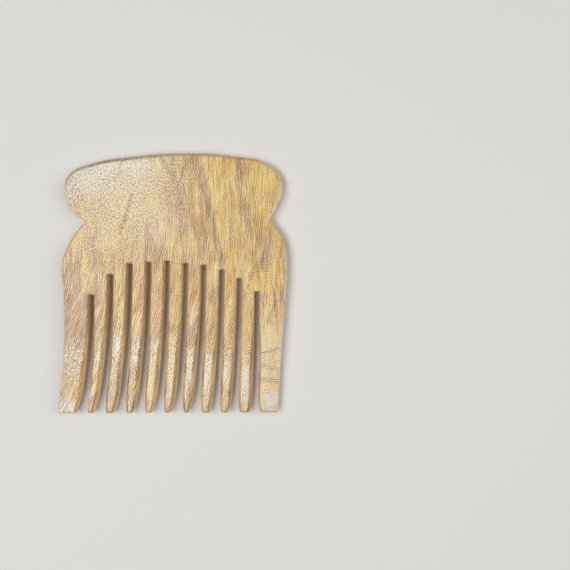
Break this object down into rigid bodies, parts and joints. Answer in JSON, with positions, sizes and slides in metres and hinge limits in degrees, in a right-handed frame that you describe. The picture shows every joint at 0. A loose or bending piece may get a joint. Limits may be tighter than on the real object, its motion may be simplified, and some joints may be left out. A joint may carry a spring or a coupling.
{
  "type": "comb",
  "caption": "Flat wide-tooth hair comb sawn from solid wood, with a low round-lobed head, a finger notch on each side and long swept, bevelled tines.",
  "frame": {"origin": "under the middle of the comb's box, on the flat back that it lies on", "axes": "+Z out of the front face, +Y from the tine tips towards the head, +X to the right as the front is seen"},
  "size_m": [0.1233, 0.14, 0.008],
  "materials": {
    "wood": "light tan hardwood with grey-brown streaks, hand rubbed to a satin sheen"
  },
  "bodies": {
    "root": {"comb": "wood"}
  },
  "joints": []
}
